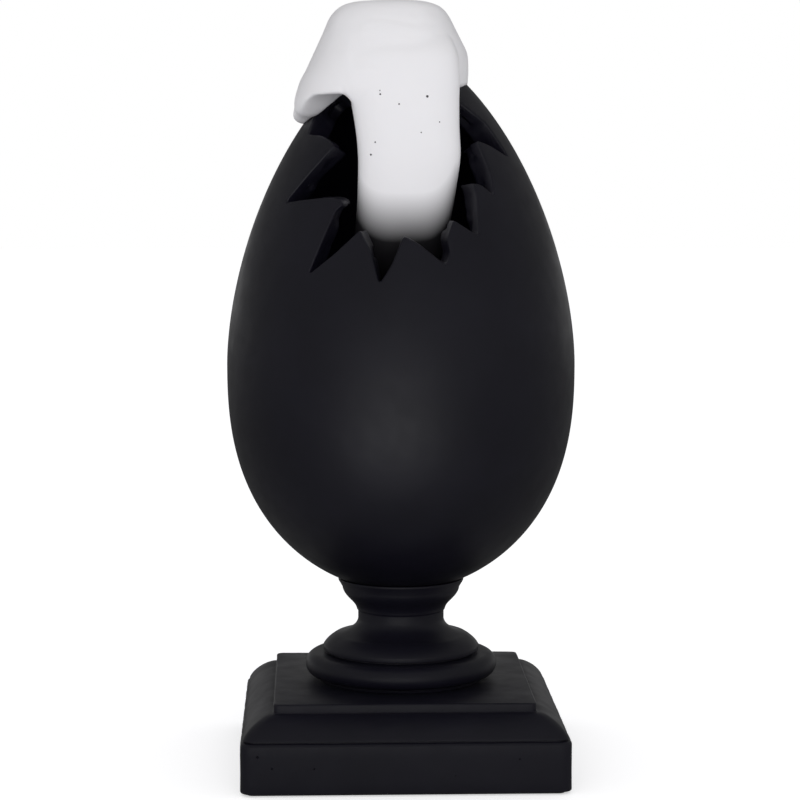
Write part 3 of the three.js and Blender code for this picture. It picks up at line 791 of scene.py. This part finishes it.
@dataclass
class Pour(Assembly):
    """The white pour: a thick cap over the crown and a run that hangs down through the hole."""

    egg: EggForm = EggForm()
    hole: Break = Break()
    rise: float = 19.7
    squareness: float = 2.5
    lip_sink: float = 2.0
    seat: float = 0.2
    cap_sides: int = 144
    cap_rings: int = 60
    edge_rings: int = 40
    edge_share: float = 0.6
    run_sides: int = 72
    run_rings: int = 60
    voxel: float = 0.85
    melting: int = 9
    pin_foot: float = 328.7
    pin_top: float = 352.5

    # Below the pour's top: how far the cap reaches to the left, right, front and back
    CAP = (
        (0, 17, 8, 18, 16), (0.6, 23, 13, 27, 23), (2.6, 28.5, 18.5, 34, 28), (7, 33, 22.5, 40, 31),
        (13, 35.8, 25.6, 45.5, 33.5), (19, 38.3, 29, 50, 35), (25, 41, 31.2, 53.6, 36),
        (31, 43.8, 31.6, 56, 37), (37, 47.2, 31.4, 57.2, 37), (46, 50, 31, 57.5, 37),
    )  # fmt: skip
    # Azimuth: how far below the apex the cap's lower edge lies, its thickness over the shell, the
    # height of its rounding, and how far it rises again towards the shell
    LIP = (
        (-180, 47, 7, 5.5, 0), (-168, 46, 7, 5.5, 0), (-149, 31, 5.5, 4.5, 0), (-135, 31, 6, 5, 0),
        (-115, 35.5, 8.5, 8, 0), (-99, 37.5, 9.5, 9.5, 0), (-80, 37.5, 9.5, 9, 0),
        (-66, 36.5, 9, 5, 3), (-42, 25.8, 8, 1.6, 4), (-28, 25.4, 6, 1.6, 3), (-21, 38, 6, 18, 0),
        (10, 38, 6, 18, 0), (40, 22, 4, 2, 1), (62, 20, -2, 1, 0), (92, 20.8, -2, 1, 0),
        (104, 20.8, 1.5, 1.5, 0), (118, 23.5, 3.5, 3, 0), (133, 27, 4, 3.5, 0), (152, 31, 6, 5, 0),
        (170, 46.5, 7, 5.5, 0), (180, 47, 7, 5.5, 0),
    )  # fmt: skip
    # Below the apex: the run's middle to the right and to the front, its half width and half depth
    RUN = (
        (-11, 0, 18, 16, 10), (-3, 0.6, 30, 21.5, 14), (6, 1.2, 38.2, 24.6, 15.8),
        (17, 1.5, 41.8, 25.2, 15.6), (27, 1.9, 43.8, 24.6, 14.7), (40, 3, 44.8, 23.6, 13.9),
        (52, 3.8, 44.8, 23.3, 13.2), (64, 3, 43.6, 22.6, 12.7), (76, 1.8, 42, 21.9, 12.2),
        (88, 0.2, 39.4, 21.4, 11.5), (98, -0.5, 36.6, 20, 10.4), (105, -0.6, 34.2, 16.6, 8.4),
        (109, -0.6, 33, 11, 5.4),
    )  # fmt: skip
    # Pinholes on the front: to the right, height and radius
    PINHOLES = (
        (-9.2, 315.2, 0.45), (-9.4, 316.9, 0.3), (-0.8, 310.8, 0.42), (11.8, 314.2, 0.65),
        (17.3, 302.8, 0.35), (9.1, 298.1, 0.35), (-11.5, 293.8, 0.42), (-13.4, 288.2, 0.52),
    )  # fmt: skip

    def lip_at(self, azimuth: float) -> Row:
        """Depth of the cap's lower edge, its thickness, rounding and rise at an azimuth."""
        low = max(row for row in self.LIP if row[0] <= azimuth)
        high = min(row for row in self.LIP if row[0] >= azimuth)
        if low == high:
            return low[1:]
        share = soften((azimuth - low[0]) / (high[0] - low[0]))
        return tuple(a + (b - a) * share for a, b in zip(low[1:], high[1:]))

    def cap_point(self, azimuth: float, level: float) -> Vector:
        """A point on the cap at a level from its top, 0, to its lower edge, 1."""
        lip, skin, edge, rise = self.lip_at(azimuth)
        drop = level * (self.rise + lip)
        height = self.egg.top + self.rise - drop
        left, right, front, back = row_at(self.CAP, drop)
        angle = math.radians(azimuth)
        across = abs(math.sin(angle)) / (right if azimuth > 0 else left)
        along = abs(math.cos(angle)) / (front if math.cos(angle) > 0 else back)
        power = self.squareness
        block = (across**power + along**power) ** (-1 / power)
        shell = self.egg.radius_at(height)
        full = max(block, shell + skin)
        share = min(1.0, max(0.0, (height - (self.egg.top - lip)) / edge))
        sunk = self.egg.radius_at(height + rise) - self.lip_sink
        swell = math.sqrt(1 - (1 - share) ** 2)
        return around(sunk + (full - sunk) * swell, azimuth, height + rise * (1 - swell))

    def cap(self) -> Solid:
        """The cap, cut to lie on the egg."""
        sides = [360 * i / self.cap_sides - 180 for i in range(self.cap_sides)]
        upper = [1 - math.cos(math.pi / 2 * i / self.cap_rings) for i in range(self.cap_rings // 2)]
        rises = [1 - math.cos(math.pi * i / (2.4 * self.edge_rings)) for i in range(self.edge_rings)]
        levels = sorted({*upper, *(1 - rise * self.edge_share for rise in rises)})
        rings = [[self.cap_point(side, level) for side in sides] for level in levels]
        cap = Bench.lofted("white_pour", rings)
        Bench.combine(cap, self.egg.whole("seat", 0.0))
        return cap

    def run(self) -> Solid:
        """The run, still without its seat in the hole."""
        rings = []
        first, last = self.RUN[0][0], self.RUN[-1][0]
        for step in range(self.run_rings + 1):
            below = first + (last - first) * step / self.run_rings
            right, front, half_width, half_depth = row_at(self.RUN, below)
            ring = []
            for side in range(self.run_sides):
                angle = 2 * math.pi * side / self.run_sides
                across, along = math.cos(angle), math.sin(angle)
                x = math.copysign(abs(across) ** (2 / self.squareness), across) * half_width
                y = math.copysign(abs(along) ** (2 / self.squareness), along) * half_depth
                ring.append(at(right + x, y - front, self.egg.top - below))
            rings.append(ring)
        return Bench.lofted("run", rings)

    def build(self) -> None:
        """Melts cap and run into one skin, then cuts its seat, its pin hole and its pinholes."""
        pour = self.cap()
        Bench.combine(pour, self.run(), Join.ADD)
        Bench.modify(pour, "REMESH", mode="VOXEL", voxel_size=self.voxel * MM)
        Bench.modify(pour, "SMOOTH", factor=0.5, iterations=self.melting)
        wall = self.egg.whole("wall", self.seat)
        Bench.combine(wall, self.egg.hollow("hollow", -self.seat))
        Bench.combine(wall, self.hole.wedge("wedge", self.seat))
        Bench.combine(pour, wall)
        Bench.combine(pour, Bench.bar(PIN_RADIUS, self.pin_foot, self.pin_top, PIN_BACK))
        Bench.combine(Bench.slots(pour, 2), Bench.line(self.pinholes(pour), 1))
        Bench.turn(pour, self.egg.turn)
        Bench.smooth(pour, SOFT_CREASE)
        self.hand_over(pour, WhiteResin(), Slot.WHITE_RESIN, "white_pour")
        # Slot 1 lines the pinholes with grey: dust together with painted shade of the cavities
        pour.data.materials[1] = PinholeDustAndShade().material()

    def pinholes(self, pour: Solid) -> Solid:
        """Balls at the pinholes, each found on the front of the pour by a ray from the front."""
        places = []
        for right, height, radius in self.PINHOLES:
            hit, place, _, _ = pour.ray_cast(at(right, -200, height), Vector((0, 1, 0)))
            if hit:
                places.append((place, radius))
        return Bench.bubbles(places)


@dataclass
class Column(Assembly):
    """The turned column between plinth and egg."""

    egg: EggForm = EggForm()
    bore: float = 4.5
    cup_gap: float = 0.3
    arris: float = 0.35
    arris_angle: float = 28.0
    sides: int = 180

    # Radius and height of its corners, and of the pulls on its curves, from the spigot up
    FOOT = ((0, 36.2), (30, 36.2), (30, 38.9), (38.5, 38.9), (38.5, 41))
    TORUS_MIDDLE, TORUS_REACH = (40.5, 46.3), (5, 5.3)
    RING = ((34.4, 51.6), (34.4, 52.8), (37, 52.8))
    SHOULDER = ((37, 55), (35.2, 57.9), (31.3, 60.1))
    BELL = ((31.3, 60.1), (21.5, 62.2), (20.4, 67.5))
    NECK = ((20.4, 71.6),)
    COLLAR = ((21, 72.2), (21.6, 76.35), (27.4, 78.25), (27.9, 83.15))
    TOP = ((29.8, 86.3), (29.8, 87.3), (0, 87.3))

    def profile(self) -> list[Row]:
        """Half outline of the column, from the axis below to the axis above."""
        torus = arc(self.TORUS_MIDDLE, self.TORUS_REACH, -90, 90, 24)
        waist = [*sweep(self.SHOULDER, 10), *sweep(self.BELL, 14)[1:], *self.NECK]
        return [*self.FOOT, *torus, *self.RING, *waist, *sweep(self.COLLAR, 18), *self.TOP]

    def build(self) -> None:
        """Turns the column, rounds its arrises and cuts the cup and bore."""
        column = Bench.turned("turned_column", self.profile(), self.sides)
        rounding = {"width": self.arris * MM, "segments": 3, "limit_method": "ANGLE"}
        Bench.modify(column, "BEVEL", angle_limit=math.radians(self.arris_angle), **rounding)
        Bench.combine(column, self.egg.whole("cup", self.cup_gap))
        Bench.combine(column, Bench.bar(self.bore, 0, self.TOP[0][1] + 6))
        Bench.smooth(column, CREASE)
        self.hand_over(column, BlackResin(), Slot.BLACK_RESIN, "stand_column")


@dataclass
class Plinth(Assembly):
    """The moulded square plinth."""

    foot: float = 1.0
    foot_round: float = 1.0
    slab_half: float = 75.0
    slab_top: float = 24.0
    slab_round: float = 1.6
    corner: float = 5.0
    quirk: float = 2.1
    mould_half: float = 73.8
    mould_foot: float = 24.8
    mould_height: float = 10.0
    mould_squareness: float = 1.4
    ledge_half: float = 61.5
    tile_half: float = 60.0
    tile_corner: float = 2.5
    tile_round: float = 0.8
    top: float = 38.9
    wear_size: float = 11.0
    wear_depth: float = 0.35
    lengthwise: int = 44
    corner_steps: int = 7

    # Radius, foot and top of the cuts for the column's spigot, the nut well and the rod
    HOLES = ((30.3, 35.9, 43.9), (17, -1, 15), (4.5, 0, 39.9))
    # Pits on the front of the slab: to the right, height and radius
    PITS = (
        (-67, 18.5, 0.7), (-60.5, 13.2, 0.55), (-41.5, 12.9, 0.5), (22, 9.4, 0.4), (51, 16.7, 0.5),
    )  # fmt: skip

    def slab(self) -> list[Row]:
        """Half width, height and corner radius of the lines round the slab, from its foot up."""
        small, big = self.foot_round, self.slab_round
        rows = arc((self.slab_half - small, self.foot + small), (small, small), -90, 0, 4)
        rows += [(self.slab_half, height) for height in range(6, 21, 4)]
        rows += arc((self.slab_half - big, self.slab_top - big), (big, big), 0, 90, 5)
        return [(half, height, self.corner) for half, height in rows]

    def mould(self) -> list[Row]:
        """The same for the convex moulding and the narrow sunk line under it."""
        sunk = self.slab_half - self.quirk
        rows = [(sunk, self.slab_top, self.corner), (sunk, self.mould_foot - 0.2, self.corner)]
        steps = 18
        for step in range(steps + 1):
            angle = math.pi / 2 * step / steps
            inward = max(0.0, math.cos(angle)) ** (2 / self.mould_squareness)
            upward = math.sin(angle) ** (2 / self.mould_squareness)
            half = self.ledge_half + (self.mould_half - self.ledge_half) * inward
            corner = self.tile_corner + (self.corner - self.tile_corner) * inward
            rows.append((half, self.mould_foot + self.mould_height * upward, corner))
        return rows

    def tile(self) -> list[Row]:
        """The same for the raised tile."""
        foot, edge = self.mould_foot + self.mould_height, self.tile_round
        rows = [(self.tile_half + 0.35, foot), (self.tile_half, foot + 0.35)]
        rows += arc((self.tile_half - edge, self.top - edge), (edge, edge), 0, 90, 4)
        return [(half, height, self.tile_corner) for half, height in rows]

    def ring(self, half: float, height: float, corner: float) -> list[Vector]:
        """Places round a square of a half width, each round corner and then the side after it."""
        inner, steps = half - corner, self.corner_steps
        angles = [math.pi / 2 * i / steps for i in range(steps + 1)]
        quarter = [(inner + corner * math.cos(a), inner + corner * math.sin(a)) for a in angles]
        count = self.lengthwise
        quarter += [(inner - 2 * inner * i / count, half) for i in range(1, count)]
        points = []
        for _ in range(4):
            points += [at(x, y, height) for x, y in quarter]
            quarter = [(-y, x) for x, y in quarter]
        return points

    def build(self) -> None:
        """Raises the block line by line, wears it a little and cuts its holes."""
        rows = [*self.slab(), *self.mould(), *self.tile()]
        block = Bench.lofted("moulded_plinth", [self.ring(*row) for row in rows])
        self.wear(block)
        for hole in self.HOLES:
            Bench.combine(block, Bench.bar(*hole, sides=96))
        Bench.smooth(block, CREASE)
        self.hand_over(block, BlackResin(), Slot.BLACK_RESIN, "plinth")

    def wear(self, block: Solid) -> None:
        """Lets the faces run slightly uneven, as on a hand finished casting, and pits the front."""
        clouds = bpy.data.textures.new("casting unevenness", "CLOUDS")
        clouds.noise_scale = self.wear_size * MM
        uneven = {"texture": clouds, "texture_coords": "LOCAL", "mid_level": 0.5}
        Bench.modify(block, "DISPLACE", strength=self.wear_depth * MM, **uneven)
        pits = [(at(right, -self.slab_half, height), radius) for right, height, radius in self.PITS]
        Bench.combine(block, Bench.bubbles(pits))


@dataclass
class Felt(Assembly):
    """The felt pad under the plinth."""

    width: float = 144.0
    thickness: float = 1.0
    corner: float = 3.0
    edge_round: float = 0.3

    def build(self) -> None:
        """Cuts the pad with round corners and softens its edge."""
        Bench.clear()
        size = (self.width, self.width, self.thickness)
        bpy.ops.mesh.primitive_cube_add(size=MM, location=at(0, 0, self.thickness / 2), scale=size)
        pad = Bench.settle()
        pad.name = "felt_pad"
        Bench.edit(pad, "EDGE")
        Bench.pick(pad, lambda edge: edge.calc_length() < 2 * self.thickness * MM)
        bpy.ops.mesh.bevel(offset=self.corner * MM, segments=6, affect="EDGES")
        Bench.pick(pad, lambda edge: abs((edge.verts[0].co - edge.verts[1].co).z) < 0.1 * MM)
        bpy.ops.mesh.bevel(offset=self.edge_round * MM, segments=3, affect="EDGES")
        Bench.smooth(Bench.close(pad), SOFT_CREASE)
        self.hand_over(pad, BlackFelt(), Slot.FELT, "base_felt")


@dataclass
class Fastening(Assembly):
    """The hidden steel that holds the stack together."""

    NODES = ("threaded_rod", "hex_nut", "spring_washer", "load_washer", "cast_in_nut", "crown_pin")

    def build(self) -> None:
        """Gives the frame's own steel pieces their plated finish."""
        for name in self.NODES:
            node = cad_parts[name]
            node.data.materials.clear()
            node.data.materials.append(ZincSteel().material())
            LOG.info("%s: kept from the frame, zinc plated", name)


@dataclass
class Studio:
    """Pale floor, soft lamps and the camera."""

    distance: float = 1201.0
    eye_height: float = 292.0
    azimuth: float = -2.0
    pitch: float = 4.27
    yaw: float = -0.02
    lens: float = 114.43
    shift: float = -0.08
    ambient: float = 0.72
    horizon: float = 0.8
    ceiling: float = 0.17
    lift: float = 0.5
    pool_place: Row = (-0.08, -0.8)
    pool_size: Row = (0.5, 0.62)
    pool_light: Row = (1.45, 0.12)
    panel_place: Row = (-0.06, -1.6, 0.5)
    panel_target: Row = (0, 0, 0.25)
    panel_size: Row = (1.2, 0.9)
    panel_light: float = 2.3

    def build(self) -> None:
        """Sets up floor, lights and camera."""
        self.camera()
        self.floor()
        self.world()
        self.panel()
        bpy.context.scene.view_settings.view_transform = "Standard"

    def camera(self) -> None:
        """Places the camera at the photograph's viewing angle."""
        place = around(self.distance, self.azimuth, self.eye_height)
        turn = (math.radians(90 - self.pitch), 0, math.radians(self.azimuth - self.yaw))
        Bench.clear()
        bpy.ops.object.camera_add(location=place, rotation=turn)
        camera = bpy.context.object
        camera.data.lens = self.lens
        camera.data.sensor_width = 36.0
        camera.data.shift_y = self.shift
        bpy.context.scene.camera = camera

    def floor(self) -> None:
        """Lays a pale floor that shows white to the eye and keeps the object's shadow."""
        Bench.clear()
        bpy.ops.mesh.primitive_plane_add(size=12)
        floor = bpy.context.object
        floor.name = "floor"
        material = bpy.data.materials.new("pale floor")
        tree = cleared(material)
        matt = add_node(tree, "ShaderNodeBsdfDiffuse", inputs={"Color": colour("E4E4E6")})
        lift = add_node(tree, "ShaderNodeEmission", inputs={"Strength": self.lift})
        ray = add_node(tree, "ShaderNodeLightPath").outputs
        both = add_node(tree, "ShaderNodeAddShader", inputs={0: matt.outputs[0], 1: lift.outputs[0]})
        shown = {0: ray["Is Camera Ray"], 1: matt.outputs[0], 2: both.outputs[0]}
        plain = add_node(tree, "ShaderNodeMixShader", inputs=shown)
        mirrored = add_node(tree, "ShaderNodeEmission", inputs={"Strength": self.pool(tree)})
        kinds = {0: ray["Is Glossy Ray"], 1: plain.outputs[0], 2: mirrored.outputs[0]}
        mix = add_node(tree, "ShaderNodeMixShader", inputs=kinds)
        add_node(tree, "ShaderNodeOutputMaterial", inputs={"Surface": mix.outputs[0]})
        floor.data.materials.append(material)

    def pool(self, tree: Tree) -> Socket:
        """Brightness of the floor as satin surfaces mirror it: dim, with a pool of light in front."""
        place = add_node(tree, "ShaderNodeTexCoord").outputs["Object"]
        pool = {"Vector": place, "Location": (*self.pool_place, 0), "Scale": (*self.pool_size, 1)}
        inside = add_node(tree, "ShaderNodeMapping", {"vector_type": "TEXTURE"}, pool).outputs[0]
        length = add_node(tree, "ShaderNodeVectorMath", {"operation": "LENGTH"}, {0: inside})
        return Finish.between(tree, length.outputs["Value"], (0.3, 1.0), self.pool_light)

    def world(self) -> None:
        """Soft light from all round, graded where satin mirrors it; the eye and glass see white."""
        world = bpy.data.worlds.new("soft studio")
        bpy.context.scene.world = world
        tree = cleared(world)
        ray = add_node(tree, "ShaderNodeLightPath").outputs
        direction = add_node(tree, "ShaderNodeTexCoord").outputs["Generated"]
        axes = add_node(tree, "ShaderNodeSeparateXYZ", inputs={"Vector": direction}).outputs
        ends = calculate(tree, "MULTIPLY", axes["Y"], axes["Y"])
        low = Finish.between(tree, axes["Z"], (0.03, 0.1), (self.horizon - self.ceiling, 0))
        mirrored = calculate(tree, "MULTIPLY_ADD", low, ends, self.ceiling)
        soft = {"Factor": ray["Is Glossy Ray"], 2: self.ambient, 3: mirrored}
        object_light = add_node(tree, "ShaderNodeMix", {"data_type": "FLOAT"}, soft).outputs[0]
        seen = calculate(tree, "MAXIMUM", ray["Is Camera Ray"], ray["Is Transmission Ray"])
        shown = {"Factor": seen, 2: object_light, 3: 1.0}
        strength = add_node(tree, "ShaderNodeMix", {"data_type": "FLOAT"}, shown).outputs[0]
        light = add_node(tree, "ShaderNodeBackground", inputs={"Strength": strength})
        light.inputs["Color"].default_value = (1, 1, 1, 1)
        add_node(tree, "ShaderNodeOutputWorld", inputs={"Surface": light.outputs[0]})

    def panel(self) -> None:
        """Hangs one soft panel in front; its light is its own brightness, where 1 looks white."""
        Bench.clear()
        bpy.ops.object.light_add(type="AREA", location=self.panel_place)
        lamp = bpy.context.object
        lamp.name = "front panel"
        lamp.data.shape = "RECTANGLE"
        width, height = self.panel_size
        lamp.data.size, lamp.data.size_y = width, height
        lamp.data.energy = self.panel_light * math.pi * width * height
        aim = Vector(self.panel_target) - Vector(self.panel_place)
        lamp.rotation_euler = aim.to_track_quat("-Z", "Y").to_euler()
        lamp.visible_camera = False
        lamp.visible_glossy = False


def main() -> None:
    """Builds the sculpture from the ground up, then the studio round it."""
    logging.basicConfig(level=logging.INFO, format="%(message)s")
    for assembly in (Felt(), Plinth(), Column(), Shell(), Pour(), Fastening()):
        assembly.build()
        LOG.info("%s done", type(assembly).__name__)
    Studio().build()


if __name__ == "__main__":
    main()
